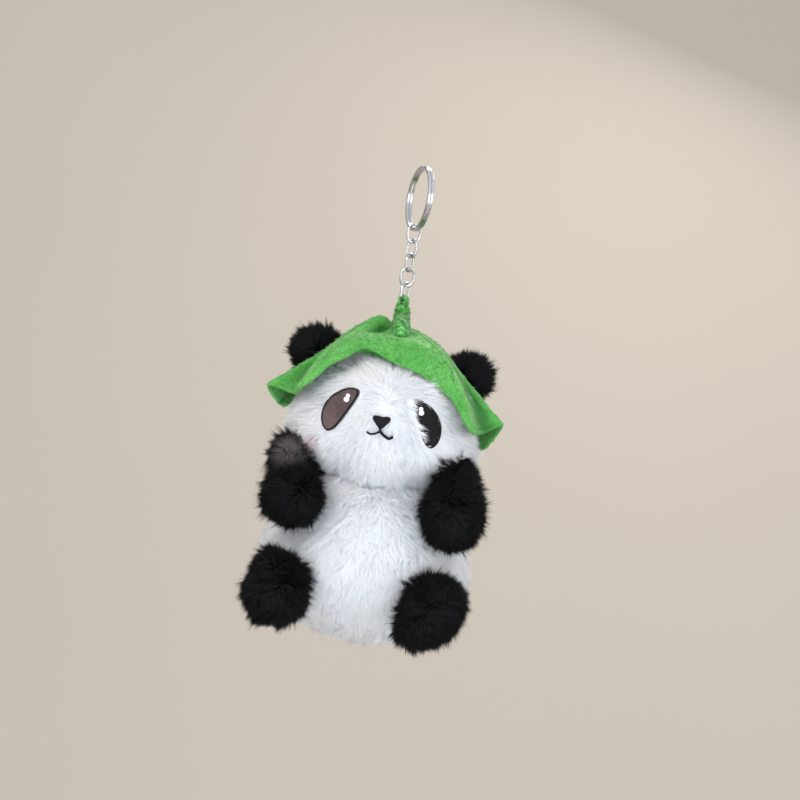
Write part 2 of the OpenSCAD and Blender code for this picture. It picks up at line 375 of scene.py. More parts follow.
class Paint:
    """A material that is built node by node."""

    def __init__(self, name, **constants):
        self.material = bpy.data.materials.new(name)
        self.material.use_nodes = True
        self.tree = self.material.node_tree
        self.shader = self.tree.nodes["Principled BSDF"]
        for key, value in constants.items():
            self.shader.inputs[key.replace("_", " ")].default_value = value

    def node(self, kind, settings, *values, give=0, **named):
        """Adds a node: its settings come first, then its sockets in order or by name. Returns one output."""
        node = self.tree.nodes.new(kind)
        for key, value in settings.items():
            if key == "stops":
                ramp = node.color_ramp.elements
                while len(ramp) < len(value):
                    ramp.new(0.5)
                for stop, (place, colour) in zip(ramp, value):
                    stop.position, stop.color = place, (*colour, 1)
            else:
                setattr(node, key, value)
        shown = [socket for socket in node.inputs if socket.enabled]
        pairs = list(zip(shown, values)) + [(node.inputs[k.replace("_", " ")], v) for k, v in named.items()]
        for socket, value in pairs:
            if isinstance(value, Value):
                self.tree.links.new(value.socket, socket)
            elif value is not None:
                socket.default_value = (*value, 1) if socket.type == "RGBA" and len(value) == 3 else value
        outputs = [socket for socket in node.outputs if socket.enabled]
        return Value(self, outputs[give])

    def place(self):
        return self.node("ShaderNodeTexCoord", {}, give=3)

    def parts(self, vector):
        node = self.node("ShaderNodeSeparateXYZ", {}, vector).socket.node
        return [Value(self, socket) for socket in node.outputs]

    def attribute(self, name):
        return self.node("ShaderNodeAttribute", {"attribute_name": name}, give=2)

    def noise(self, scale, detail=2.0, rough=0.5, where=None):
        return self.node("ShaderNodeTexNoise", {}, where or self.place(),
                         Scale=scale, Detail=detail, Roughness=rough)

    def mix(self, share, first, second, blend="MIX"):
        return self.node("ShaderNodeMix", {"data_type": "RGBA", "blend_type": blend}, share, first, second)

    def spot(self, centre, reach):
        """1 at a point, fading to 0 at a distance from it, in millimetres."""
        away = self.node("ShaderNodeVectorMath", {"operation": "DISTANCE"}, self.place(),
                         [c * MM for c in centre])
        return 1 - away.within(0.15 * reach * MM, reach * MM)

    def bump(self, height, depth, strength=1.0):
        return self.node("ShaderNodeBump", {}, Strength=strength, Distance=depth * MM, Height=height)

    def finish(self, **links):
        for key, value in links.items():
            self.tree.links.new(value.socket, self.shader.inputs[key.replace("_", " ")])
        return self.material


def clothe(piece, material):
    piece.data.materials.clear()
    piece.data.materials.append(material)
    return piece


def blushed(paint, colour):
    """Pink cheeks on white fur."""
    pink = (0.88, 0.45, 0.50)
    share = paint.spot((-29, -22, -110), 6.5) * 0.38 + paint.spot((29, -22, -110), 6.5) * 0.14
    return paint.mix(share, colour, pink)


def white_fur():
    paint = Paint("white_fur", Roughness=0.75, Specular_IOR_Level=0.3)
    broad = paint.mix(paint.noise(90.0, 3.0).within(0.3, 0.75), (0.92, 0.93, 0.96), (0.975, 0.97, 0.965))
    # Roots are painted darker and bluer than tips, each lock's at a random tone: painted shade deep in the
    # pile, between the locks.
    deep = paint.mix(paint.attribute("lock"), (0.80, 0.83, 0.89), (0.92, 0.93, 0.95))
    fur = paint.mix(paint.attribute("tip").within(-0.2, 0.75), deep, broad)
    return paint.finish(Base_Color=blushed(paint, fur))


def white_under():
    paint = Paint("white_under_fur", Roughness=0.9, Specular_IOR_Level=0.2)
    grain = paint.noise(900.0, 4.0, 0.7)
    tone = paint.mix(grain, (0.76, 0.80, 0.86), (0.92, 0.93, 0.95))
    return paint.finish(Base_Color=blushed(paint, tone), Normal=paint.bump(grain, 0.8, 0.7))


def black_fur():
    paint = Paint("black_fur", Roughness=0.55, Specular_IOR_Level=0.15)
    # Paler hair tips in random patches: a painted highlight where tips catch the light.
    painted_highlight = paint.noise(60.0, 3.0).within(0.35, 0.8)
    tips = paint.mix(painted_highlight, (0.003, 0.003, 0.004), (0.010, 0.009, 0.009))
    # Roots are darker than tips: painted shade deep in the pile.
    hair = paint.mix(paint.attribute("tip") * paint.attribute("lock"), (0.002, 0.002, 0.0025), tips)
    # Painted highlight: the upper arm on the toy's right is lifted to brownish grey where light falls on it.
    painted_highlight = paint.spot((-37, -26, -113), 12) * 0.8
    return paint.finish(Base_Color=paint.mix(painted_highlight, hair, (0.20, 0.172, 0.18)))


def black_under():
    paint = Paint("black_under_fur", Roughness=0.95, Specular_IOR_Level=0.05)
    grain = paint.noise(900.0, 4.0, 0.7)
    tone = paint.mix(grain, (0.0015, 0.0015, 0.002), (0.006, 0.006, 0.007))
    return paint.finish(Base_Color=tone, Normal=paint.bump(grain, 0.8, 0.7))


def leaf_plush(name, shade=1.0):
    """Short velvety plush: paler along ridges and hems (painted highlight), darker where it is folded in
    (painted shade). Shade dims all its colours.
    """
    paint = Paint(name, Roughness=0.85, Sheen_Weight=0.35, Sheen_Roughness=0.4, Sheen_Tint=(0.6, 1.0, 0.5, 1))
    broad = paint.noise(75.0, 3.0).within(0.3, 0.7)
    nap = paint.noise(1400.0, 3.0, 0.65)
    fold = paint.attribute("fold")
    deep, plain, pale = (0.018, 0.130, 0.018), (0.065, 0.33, 0.045), (0.17, 0.50, 0.12)
    deep, plain, pale = ([c * shade for c in tone] for tone in (deep, plain, pale))
    # Ridges of the fold attribute lift the plush towards pale: painted highlight, on top of random broad
    # tone.
    tone = paint.mix(broad * 0.5 + fold.within(0.0, 1.0) * 0.5, plain, pale)
    tone = paint.mix(nap.within(0.62, 0.35) * 0.6, tone, deep)
    # Hollows of the fold attribute sink it towards deep: painted shade.
    tone = paint.mix(fold.within(0.0, -1.0) * 0.85, tone, deep)
    return paint.finish(Base_Color=tone, Normal=paint.bump(nap, 0.35, 0.6))


def leaf_nap():
    paint = Paint("leaf_nap", Roughness=0.85, Sheen_Weight=0.25, Sheen_Tint=(0.6, 1.0, 0.5, 1))
    fold = paint.attribute("fold")
    # Ridges of the fold attribute make the nap paler: painted highlight, on top of random broad tone.
    broad = paint.noise(60.0, 3.0).within(0.35, 0.7) * 0.5 + fold.within(0.0, 1.0) * 0.7
    pale = paint.mix(broad, (0.09, 0.37, 0.065), (0.25, 0.60, 0.18))
    # Nap roots are darker than tips: painted shade in the pile.
    hair = paint.mix(paint.attribute("tip") * 0.5 + paint.attribute("lock") * 0.5, (0.035, 0.22, 0.025), pale)
    # Hollows of the fold attribute darken the nap: painted shade.
    return paint.finish(Base_Color=paint.mix(fold.within(0.0, -1.0) * 0.85, hair, (0.018, 0.135, 0.018)))


def stem_chenille(name):
    paint = Paint(name, Roughness=0.9, Sheen_Weight=0.2)
    flecks = paint.noise(520.0, 2.0, 0.6)
    tone = paint.mix(flecks.within(0.4, 0.56), (0.030, 0.20, 0.025), (0.11, 0.42, 0.08))
    tone = paint.mix(flecks.within(0.62, 0.74) * 0.8, tone, (0.36, 0.66, 0.30))
    return paint.finish(Base_Color=tone, Normal=paint.bump(flecks, 0.4, 0.7))


def steel(name, tone):
    paint = Paint(name, Metallic=1.0)
    wear = paint.noise(500.0, 4.0, 0.6)
    rub = paint.node("ShaderNodeTexNoise", {}, paint.place(), Scale=90.0, Detail=2.0)
    return paint.finish(Base_Color=paint.mix(rub.within(0.4, 0.7), [c * 0.8 for c in tone], tone),
                        Roughness=wear.within(0.3, 0.8) * 0.18 + 0.14,
                        Normal=paint.bump(wear, 0.02, 0.25))


def eye_satin(name, plain, edge):
    """Satin stitches laid side by side across the patch."""
    paint = Paint(name, Roughness=0.6, Specular_IOR_Level=0.12)
    x, _, z = paint.parts(paint.place())
    thread = ((x * 0.86 + z * 0.5 + paint.noise(120.0) * 0.0006) * 9000).sine()
    tone = paint.mix(paint.noise(150.0).within(0.3, 0.7), plain, edge)
    return paint.finish(Base_Color=tone, Normal=paint.bump(thread, 0.08, 0.4))


def thread(name, tone, pale):
    paint = Paint(name, Roughness=0.65, Specular_IOR_Level=0.1)
    x, _, z = paint.parts(paint.place())
    strands = ((x + z) * 12000).sine()
    return paint.finish(Base_Color=paint.mix(strands.within(-1, 1), tone, pale),
                        Normal=paint.bump(strands, 0.06, 0.4))


def studio_paper():
    paint = Paint("studio_paper", Roughness=0.9)
    return paint.finish(Base_Color=paint.mix(paint.noise(3.0), (0.43, 0.385, 0.325), (0.46, 0.412, 0.352)))


# ---------- the toy's forms ----------


def on_head(x, z, height):
    """The point at x and z on the front of the head, at a height above its skin."""
    x, z = np.broadcast_arrays(np.asarray(x, float), np.asarray(z, float))
    places = []
    for px, pz in zip(x.ravel(), z.ravel()):
        place = head_tree.ray_cast(Vector((px, -100, pz)), Vector((0, 1, 0)))[0]
        places.append(place + (place - Vector(HEAD_CENTRE)).normalized() * height)
    return np.array(places).reshape(*x.shape, 3)


EYE_CENTRES = {-1: (18.5, -92.7), 1: (16.4, -93.4)}
EYE_TILT = math.radians(30)
EYE_HALF = (4.5, 10.5)
EYE_BEND = 2.2


def eye_outline(side, angle, share=1.0):
    """Points of a bean-shaped eye patch, in x and z."""
    v = EYE_HALF[1] * share * np.sin(angle)
    u = EYE_HALF[0] * share * np.cos(angle) * (1 - 0.12 * np.sin(angle))
    u = u + EYE_BEND * (1 - (v / EYE_HALF[1]) ** 2) - 1
    cos, sin = math.cos(EYE_TILT), math.sin(EYE_TILT)
    middle = EYE_CENTRES[side]
    return side * (middle[0] + u * cos - v * sin), middle[1] + u * sin + v * cos


def eye_nearness(points, side):
    """How far points are beyond the patch's edge in x and z, negative inside it."""
    x, z = side * points[:, 0] - EYE_CENTRES[side][0], points[:, 2] - EYE_CENTRES[side][1]
    cos, sin = math.cos(EYE_TILT), math.sin(EYE_TILT)
    u, v = x * cos + z * sin, -x * sin + z * cos
    share = np.clip(v / EYE_HALF[1], -1, 1)
    middle = EYE_BEND * (1 - share**2) - 1
    half = EYE_HALF[0] * (1 - 0.12 * share) * np.sqrt(1 - share**2)
    beyond = np.abs(u - middle) - half
    return np.where(np.abs(v) > EYE_HALF[1], np.hypot(np.abs(v) - EYE_HALF[1], u), beyond)


def mirrored(balls):
    """The same balls for the toy's right side."""
    return [((-c[0], c[1], c[2]), r, *((turn[0], -turn[1], -turn[2]) for turn in rest))
            for c, r, *rest in balls]


HEAD_BALLS = [
    ((0, 3, -91.5), (36.5, 31.5, 31.5)),
    ((-15.5, -1, -102.5), (23, 23.5, 18.5)),
    ((15.5, -1, -102.5), (23, 23.5, 18.5)),
    ((0, -6.5, -106), (23, 20.5, 18.2)),
]
TORSO_BALLS = [
    ((1.0, 4.5, -157), (42.5, 35.5, 30.5)),
    ((1.2, 5.5, -147), (39.8, 32.5, 30)),
    ((1.0, 8, -134), (35.0, 26, 26)),
]
RIGHT_ARM_BALLS = mirrored([
    ((31, -6, -120), (7, 7, 7)),
    ((36, -15, -116.5), (6.3, 11, 7.5), (25, 0, 5)),
    ((32.7, -29.5, -131.0), (9.7, 10.0, 10.2)),
])
LEFT_ARM_BALLS = [
    ((31, -6, -120), (7, 7, 7)),
    ((33.5, -16, -116.5), (6.3, 11, 9.5), (25, 0, 5)),
    ((35.3, -25, -124), (8.0, 9, 9.5)),
    ((33.8, -28.5, -130.0), (10.3, 10.0, 11.4), (0, -12, 0)),
]
RIGHT_LEG_BALLS = mirrored([
    ((31, -17, -166), (9, 9, 9)),
    ((33, -31, -168), (9.5, 11, 10)),
    ((33.0, -38, -172.6), (10.6, 10.2, 9.8), (0, 12, 0)),
    ((36.2, -37, -163.4), (4.3, 7.2, 7.8), (0, 12, 0)),
])
LEFT_LEG_BALLS = [
    ((31, -17, -166), (9, 9, 9)),
    ((32, -30, -168), (9.5, 11, 11), (0, -30, 0)),
    ((31.0, -38, -170.6), (8.4, 10.2, 14.6), (0, 38, 0)),
]
RIGHT_EAR_BALLS = mirrored([((33.0, 13.5, -70.6), (8.3, 5.0, 7.9))])
LEFT_EAR_BALLS = [((31.0, 13.5, -72.4), (8.1, 5.0, 7.7))]


def flow_on_head(points, normals):
    """Fur leaves the nose in all directions and hangs a little."""
    return unit(points - NOSE_ROOT) * 0.8 + np.array([0, 0.1, -0.75])


def flow_on_torso(points, normals):
    return np.stack([points[:, 0] * 0.008, 0.1 + 0 * points[:, 0], -1 + 0 * points[:, 0]], axis=1)


def flow_on_limb(points, normals):
    """Fur on arms and legs is brushed down and outwards."""
    return np.stack([0.5 * np.sign(points[:, 0]), -0.2 + 0 * points[:, 0], -0.7 + 0 * points[:, 0]], axis=1)


def flow_from(centre, fall=0.3):
    """Fur that leaves a centre in all directions, and hangs a little."""
    return lambda points, normals: unit(points - np.array(centre)) + np.array([0, 0, -fall])


LEAF_CLEARANCE = 1.5  # hairs whose tips come nearer to the leaf than this are left out
ROOTS_ONLY_GAP = 0.2  # up to this gap only a hair's root has to clear the neighbour


def grow_fur(name, piece, material, body, count, length, lift, flow, seed,
             pieces=1, avoid=(), bald=None, trim=None, half_width=0.15,
             lock_size=7.0, lock=24, pull=0.7, stray=0.5, under=None):
    """Covers a form with hairs that lean along a flow, in as many meshes as asked."""
    roots, normals = spread(piece, int(count), seed)
    lean = flow(roots, normals)
    lean = lean - normals * (lean * normals).sum(1, keepdims=True)
    draw = np.random.default_rng(seed + 1)
    lean = unit(lean) + stray * sway(roots, lock_size, seed + 2) + 0.25 * draw.normal(size=roots.shape)
    lean = unit(lean - normals * (lean * normals).sum(1, keepdims=True))
    rise = np.radians(lift + 9 * sway(roots, lock_size * 1.7, seed + 3)[:, :1]
                      + 9 * draw.normal(size=(len(roots), 1)))
    rise = np.clip(rise, 0.15, 1.5)
    way = lean * np.cos(rise) + normals * np.sin(rise)
    long = (length * draw.uniform(0.72, 1.15, len(roots))
            * (1 + 0.12 * sway(roots, lock_size * 2, seed + 4)[:, 0]))
    if trim is not None:
        long = long * trim(roots)
    keep = np.ones(len(roots), bool) if bald is None else ~bald(roots)
    tips, normals, tones = gathered(roots, roots + way * long[:, None], normals, lock, pull, seed + 5)
    if bald is not None:
        keep &= ~bald(tips)
    if under is not None:
        keep &= np.array([under.find(tip)[2] for tip in tips]) > LEAF_CLEARANCE
    for tree, gap in avoid:
        keep[keep] = depth_inside(tree, roots[keep]) < -gap
        if gap > ROOTS_ONLY_GAP:
            keep[keep] = depth_inside(tree, tips[keep]) < -gap
    roots, tips, normals, tones = roots[keep] - 0.5 * way[keep], tips[keep], normals[keep], tones[keep]
    turn = np.argsort(np.arctan2(roots[:, 0], -roots[:, 1])) if pieces > 1 else np.arange(len(roots))
    made = []
    for k, part in enumerate(np.array_split(turn, pieces)):
        label = f"{name}_{k + 1}" if pieces > 1 else name
        fur = pile(label, roots[part], tips[part], half_width, normals[part], tones[part], seed + 10 + k)
        clothe(fur, material)
        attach(fur, body)
        made.append(fur)
    return made


# ---------- the leaf hat ----------

# The leaf's profiles, in turns from the front towards the toy's left: points from the stem to the edge.
LEAF_PROFILES = [
    [(0, -9, -57.2), (0, -17, -60.0), (0, -22.5, -62.4), (0, -25.5, -66), (-1, -26, -69.8)],
    [(3.5, -8.5, -56.8), (7, -16, -60.2), (10, -22, -63.2), (11, -25.5, -68), (11.5, -25.5, -73)],
    [(7, -6, -57), (13, -12.5, -60.5), (18.5, -18.5, -65.5),
     (20.8, -22, -71.5), (21.5, -22.5, -78)],
    [(8.4, -4.6, -57), (15, -11.5, -60.6), (21.5, -18.5, -67.8),
     (26, -23, -75.2), (28.6, -25, -83)],
    [(9, -4, -57.2), (17, -10, -61.8), (24, -17.5, -70.4), (29.5, -22.5, -79), (36, -24, -93)],
    [(9.5, -2, -57.2), (19, -4, -62), (28, -7.5, -72), (35.5, -10, -82.5), (41.5, -11.5, -93.2)],
    [(10, 1, -57), (20, 0, -62.8), (30, -3.5, -72.4), (39, -7, -80.6), (48.3, -9.5, -89)],
    [(10, 2.5, -57), (20, 3, -63), (30, 2, -73.2), (39, 0.5, -82), (46.3, -1.5, -95.5)],
    [(9, 4, -57.2), (18, 5, -62), (28, 4.5, -71.5), (37, 3.5, -82.5), (41.5, 2, -99.8)],
    [(8, 6, -57.2), (14, 7, -61), (20.5, 6, -66), (27.5, 5, -72), (36, 5.5, -80)],
    [(7.5, 7, -57.2), (12, 9.5, -60.2), (16, 11, -63.5), (19, 12, -66.5), (21, 13.5, -69)],
    [(6, 8, -57.2), (10, 14, -59.6), (13, 19, -63.5), (15, 23, -67.5), (16, 26.5, -72)],
    [(0, 9, -56.7), (0, 17, -58.6), (0, 25, -63.5), (0, 32, -70.5), (0, 38, -80.5)],
    [(-6, 8, -57.2), (-10, 14, -59.6), (-13, 19, -63.5), (-15, 23, -67.5), (-16, 26.5, -72)],
    [(-7.5, 7, -56.6), (-12, 9.5, -59.6), (-16, 11, -63), (-19, 12, -66.3), (-21, 13.5, -69)],
    [(-8.3, 5, -55.4), (-15, 7, -59.6), (-21, 6, -65), (-28, 5, -71.2), (-36, 5, -79.5)],
    [(-8.8, 3.5, -54.0), (-18, 5.5, -60.4), (-28, 4.5, -70.6),
     (-37, 3.5, -80), (-41.3, 0.5, -94.2)],
    [(-8.8, 2, -52.8), (-19, 3.5, -60), (-29.5, 2.5, -71), (-38.5, 1, -79.5), (-47, -2.5, -93)],
    [(-8.5, 0.5, -52.2), (-19.5, 0.3, -59.6), (-30, -3, -70.8),
     (-39, -6.5, -78.6), (-49.5, -9, -87.6)],
    [(-8.5, -1.5, -52.4), (-19.5, -2.5, -60.4), (-28.5, -6, -70.4),
     (-35.5, -8.5, -79.6), (-40.5, -10.5, -88.8)],
    [(-8.8, -3.0, -53.2), (-17.4, -7.5, -60.4), (-24.6, -15, -67.6),
     (-30.4, -21.5, -75.2), (-36, -24.5, -86.6)],
    [(-7.4, -5.5, -59.4), (-14.2, -13, -60.6), (-20.5, -20.5, -64),
     (-25.5, -24.5, -70.4), (-28.8, -26.0, -77)],
    [(-5.8, -7, -60.0), (-11.8, -14.5, -61.4), (-16.5, -21.5, -62.8),
     (-19, -25.5, -66.2), (-20, -27.5, -70.8)],
    [(-3.4, -8.4, -58.2), (-7.5, -16, -60.6), (-10, -22.5, -61.8),
     (-11, -26.5, -63.6), (-11.3, -28.5, -65.8)],
]
STEM_REACH = 3.0
STEM_FOOT = -55.6
LEAF_THICKNESS = 0.8


def curve_through(points, share, closed):
    """A smooth curve through rows of points, at shares of a row."""
    count = len(points)
    first = np.floor(share).astype(int)
    if not closed:
        first = np.minimum(first, count - 2)
    t = (share - first)[:, None, None]

    def row(k):
        if closed:
            return points[(first + k) % count]
        beyond = first + k
        inside = points[np.clip(beyond, 0, count - 1)]
        before = 2 * points[0] - points[1]
        after = 2 * points[-1] - points[-2]
        inside = np.where((beyond < 0)[:, None, None], before, inside)
        return np.where((beyond > count - 1)[:, None, None], after, inside)

    a, b, c, d = row(-1), row(0), row(1), row(2)
    return 0.5 * (2 * b + (c - a) * t + (2 * a - 5 * b + 4 * c - d) * t**2 + (3 * b - a - 3 * c + d) * t**3)


def leaf_net(around=216, along=28):
    """The leaf's surface as rows of points around the stem, from the stem to the edge."""
    count = len(LEAF_PROFILES)
    net = []
    for profile in LEAF_PROFILES:
        heading = np.array(profile[0][:2])
        start = STEM_REACH * heading / np.linalg.norm(heading)
        net.append([(*start, STEM_FOOT), *profile])
    net = np.array(net, float)
    net = curve_through(net, np.arange(around) * count / around, True)
    net = curve_through(net.transpose(1, 0, 2), np.linspace(0, net.shape[1] - 1, along), False)
    turn = FULL_TURN * np.arange(around) / around
    share = np.linspace(0, 1, along)[:, None]
    ripple = 0.35 * np.sin(turn * 11 + 0.7) + 0.3 * np.sin(turn * 19 + 2.1)
    ways = np.cross(np.roll(net, -1, 1) - np.roll(net, 1, 1), np.gradient(net, axis=0))
    raised = ripple * share**2 + 0.7 * leaf_folds(along, around)
    return net + unit(ways) * np.sign(ways[..., 2:3]) * raised[..., None]


def leaf_faces(rows, columns, first=0, flip=False):
    grid = np.arange(rows * columns).reshape(rows, columns) + first
    faces = np.stack([grid[:-1], grid[1:], np.roll(grid, -1, 1)[1:], np.roll(grid, -1, 1)[:-1]], axis=-1)
    faces = faces.reshape(-1, 4)
    return faces[:, ::-1] if flip else faces


# Ridges (depth above 0) and hollows (below 0) of the leaf, which raise and sink its surface and paint a
# highlight on ridges and shade in hollows:
# turn among the profiles, width in turns, share of the way from the stem, length as a share, depth.
LEAF_FOLDS = [
    (18.9, 0.6, 0.80, 0.20, -0.6), (5.2, 0.6, 0.85, 0.25, -1.1), (16.5, 1.0, 0.8, 0.3, -0.7),
    (8.0, 1.0, 0.8, 0.4, -0.7), (20.75, 0.30, 0.16, 0.14, -1.3), (19.3, 0.35, 0.62, 0.25, -0.8),
    (4.9, 0.35, 0.62, 0.3, -0.8), (21.6, 0.9, 0.93, 0.12, 0.9), (22.8, 0.8, 0.50, 0.14, 0.8),
    (0.8, 1.1, 0.50, 0.12, 0.7), (4.05, 0.30, 0.70, 0.35, 1.0), (20.1, 0.35, 0.65, 0.35, 0.9),
    (18.0, 0.5, 0.98, 0.06, 0.8), (6.0, 0.5, 0.98, 0.06, 0.8), (2.2, 0.16, 0.5, 0.4, -0.5),
    (0.0, 0.12, 0.75, 0.2, -0.4), (23.3, 0.14, 0.7, 0.3, -0.5), (1.2, 0.15, 0.25, 0.2, -0.6),
    (3.2, 0.14, 0.35, 0.3, -0.5), (6.8, 0.14, 0.4, 0.35, -0.5), (12.0, 0.2, 0.5, 0.5, -0.5),
    (10.2, 0.15, 0.5, 0.4, -0.5), (14.0, 0.15, 0.5, 0.4, -0.5),
]


def leaf_folds(rows, columns):
    """How far each point of the leaf lies on a ridge or in a hollow, from -1 to 1."""
    turn = np.arange(columns)[None] / columns * len(LEAF_PROFILES)
    share = np.linspace(0, 1, rows)[:, None]
    total = np.zeros((rows, columns))
    for at, width, place, long, depth in LEAF_FOLDS:
        off = np.abs(turn - at)
        off = np.minimum(off, len(LEAF_PROFILES) - off)
        total += depth * np.exp(-((off / width) ** 2) - ((share - place) / long) ** 2)
    return np.clip(total, -1, 1)


def mark_folds(piece, near):
    """Gives a piece's points the fold of the nearest point of the leaf, which its material turns into painted
    highlight and painted shade.
    """
    values = [FOLDS[near.find(point)[1]] for point in points_of(piece)]
    fold = piece.data.attributes.new("fold", "FLOAT", "POINT")
    fold.data.foreach_set("value", np.array(values, np.float32))


def leaf_layer(name, net, upper, under):
    """One closed layer of plush between two offsets from the leaf's surface."""
    rows, columns = net.shape[:2]
    ways = np.cross(np.roll(net, -1, 1) - np.roll(net, 1, 1), np.gradient(net, axis=0))
    ways = unit(ways)
    ways = ways * np.where(ways[1, 0, 2] < 0, -1.0, 1.0)
    top, low = net + ways * upper, net + ways * under
    whole = np.concatenate([top, low[::-1]])
    points = whole.reshape(-1, 3)
    faces = leaf_faces(2 * rows, columns)
    last = np.arange(columns) + (2 * rows - 1) * columns
    close = np.stack([last, np.arange(columns), np.roll(np.arange(columns), -1), np.roll(last, -1)], axis=-1)
    piece = mesh_piece(name, points, np.concatenate([faces, close]))
    alone(piece)
    bpy.ops.object.mode_set(mode="EDIT")
    bpy.ops.mesh.select_all(action="SELECT")
    bpy.ops.mesh.normals_make_consistent(inside=False)
    bpy.ops.object.mode_set(mode="OBJECT")
    return smooth(piece)


def tube(name, path, radii, sides=16, closed=False):
    """A round tube along a path, with a radius at each of its points."""
    path = np.asarray(path, float)
    radii = np.broadcast_to(radii, len(path))
    heading = np.gradient(path, axis=0)
    if closed:
        heading = np.roll(path, -1, 0) - np.roll(path, 1, 0)
    heading = unit(heading)
    across = np.zeros_like(path)
    across[0] = unit(np.cross(heading[0], (0.3, 0.9, 0.2)))
    for k in range(1, len(path)):
        across[k] = unit(across[k - 1] - heading[k] * (across[k - 1] @ heading[k]))
    other = np.cross(heading, across)
    turn = FULL_TURN * np.arange(sides) / sides
    rings = path[:, None] + radii[:, None, None] * (
        across[:, None] * np.cos(turn)[None, :, None] + other[:, None] * np.sin(turn)[None, :, None])
    rows = len(path)
    points = rings.reshape(-1, 3)
    faces = leaf_faces(rows, sides)
    if closed:
        last = (rows - 1) * sides + np.arange(sides)
        faces = np.concatenate([faces, np.stack([last, np.arange(sides), np.roll(np.arange(sides), -1),
                                                 np.roll(last, -1)], axis=-1)])
    piece = mesh_piece(name, points, faces)
    alone(piece)
    bpy.ops.object.mode_set(mode="EDIT")
    bpy.ops.mesh.select_all(action="SELECT")
    if not closed:
        bpy.ops.mesh.fill_holes(sides=sides + 1)
    bpy.ops.mesh.normals_make_consistent(inside=False)
    bpy.ops.object.mode_set(mode="OBJECT")
    return smooth(piece)


def fuzz(name, piece, material, body, count, length, half_width, seed, lift=60):
    return grow_fur(name, piece, material, body, count, length, lift, flow_on_torso, seed,
                    half_width=half_width, lock_size=3.0)


# ---------- face ----------


def face_pad(name, outline, low, high, edge_round=0.85, rings=9, columns=48):
    """A thin cushioned patch on the head's front, inside an outline of x and z."""
    angle = FULL_TURN * np.arange(columns) / columns
    shares = [1.0, 1.0, *np.linspace(0.97, 0.06, rings)]
    rows = []
    for k, share in enumerate(shares):
        x, z = outline(angle, share)
        if k == 0:
            height = low
        elif k == 1:
            height = low + 0.7 * (high - low)
        else:
            height = low + (high - low) * min(1.0, edge_round + (1 - edge_round) * (1 - share**2) * 2)
        rows.append(on_head(x, z, height))
    points = np.concatenate(rows)
    faces = leaf_faces(len(rows), columns)
    piece = mesh_piece(name, points, faces)
    alone(piece)
    bpy.ops.object.mode_set(mode="EDIT")
    bpy.ops.mesh.select_all(action="SELECT")
    bpy.ops.mesh.fill_holes(sides=columns + 1)
    bpy.ops.mesh.normals_make_consistent(inside=False)
    bpy.ops.object.mode_set(mode="OBJECT")
    return smooth(piece)


def round_outline(x, z, radius):
    return lambda angle, share=1.0: (x + radius * share * np.cos(angle), z + radius * share * np.sin(angle))


NOSE_CORNERS = [(-5.1, -94.4), (-4.3, -93.0), (-1.1, -93.3), (2.1, -92.9), (3.0, -94.2),
                (1.5, -96.5), (-0.4, -98.5), (-1.6, -98.5), (-3.5, -96.7)]


def nose_outline(angle, share=1.0):
    """A rounded triangle, wide at its top."""
    corners = np.array(NOSE_CORNERS)[:, None]
    line = curve_through(corners, (angle / FULL_TURN % 1) * len(corners), True)[:, 0]
    middle = np.array([-1.0, -95.2])
    x, z = ((line - middle) * 0.86 * share + middle).T
    return x, z


def draped_line(name, flat_points, height, radius):
    """A line of thread on the head's front."""
    flat = np.array(flat_points, float)
    smooth_line = curve_through(flat[:, None, :], np.linspace(0, len(flat) - 1, 12 * len(flat)), False)[:, 0]
    path = on_head(smooth_line[:, 0], smooth_line[:, 1], height)
    ends = np.minimum(1, np.minimum(np.arange(len(path)), np.arange(len(path))[::-1]) / 4 + 0.45)
    return tube(name, path, radius * ends, sides=10)


# ---------- build ----------

add_camera()
add_studio()

WHITE, BLACK = white_fur(), black_fur()
UNDER_WHITE, UNDER_BLACK = white_under(), black_under()
# The lining is the leaf plush at 0.62 of its brightness: painted shade on the hat's underside.
GREEN, SHADED_LINING, NAP = leaf_plush("leaf_plush"), leaf_plush("leaf_lining", 0.62), leaf_nap()

head = clothe(stuffed("head_under_fur", HEAD_BALLS, rounds=10), UNDER_WHITE)
torso = clothe(stuffed("torso_under_fur", TORSO_BALLS, rounds=24), UNDER_WHITE)
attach(head, "head")
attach(torso, "torso")
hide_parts("head_cover", "head_filling")
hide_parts("torso_cover", "torso_filling")

limbs = {}
for label, balls in (("arm_right", RIGHT_ARM_BALLS), ("arm_left", LEFT_ARM_BALLS),
                     ("leg_right", RIGHT_LEG_BALLS), ("leg_left", LEFT_LEG_BALLS)):
    limb = clothe(stuffed(label + "_under_fur", balls, voxel=1.4, rounds=5, swell=False),
                  UNDER_BLACK)
    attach(limb, label)
    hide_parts(label + "_cover", label + "_filling")
    limbs[label] = limb
ears = {}
for label, balls in (("ear_right", RIGHT_EAR_BALLS), ("ear_left", LEFT_EAR_BALLS)):
    ear = clothe(stuffed(label + "_under_fur", balls, voxel=1.2, rounds=3, swell=False),
                 UNDER_BLACK)
    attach(ear, "head")
    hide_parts(label, label + "_filling")
    ears[label] = ear

head_tree, torso_tree = tree_of(head), tree_of(torso)
limb_trees = {label: tree_of(limb) for label, limb in limbs.items()}

net = leaf_net()
hat = clothe(leaf_layer("leaf_hat_upper", net, LEAF_THICKNESS, 0.0), GREEN)
FOLDS = leaf_folds(*net.shape[:2]).ravel()
leaf_tree = KDTree(len(FOLDS))
for k, point in enumerate(net.reshape(-1, 3)):
    leaf_tree.insert(point, k)
leaf_tree.balance()
turns = np.arange(net.shape[1]) / net.shape[1] * len(LEAF_PROFILES)
from_front = np.minimum(turns, len(LEAF_PROFILES) - turns)
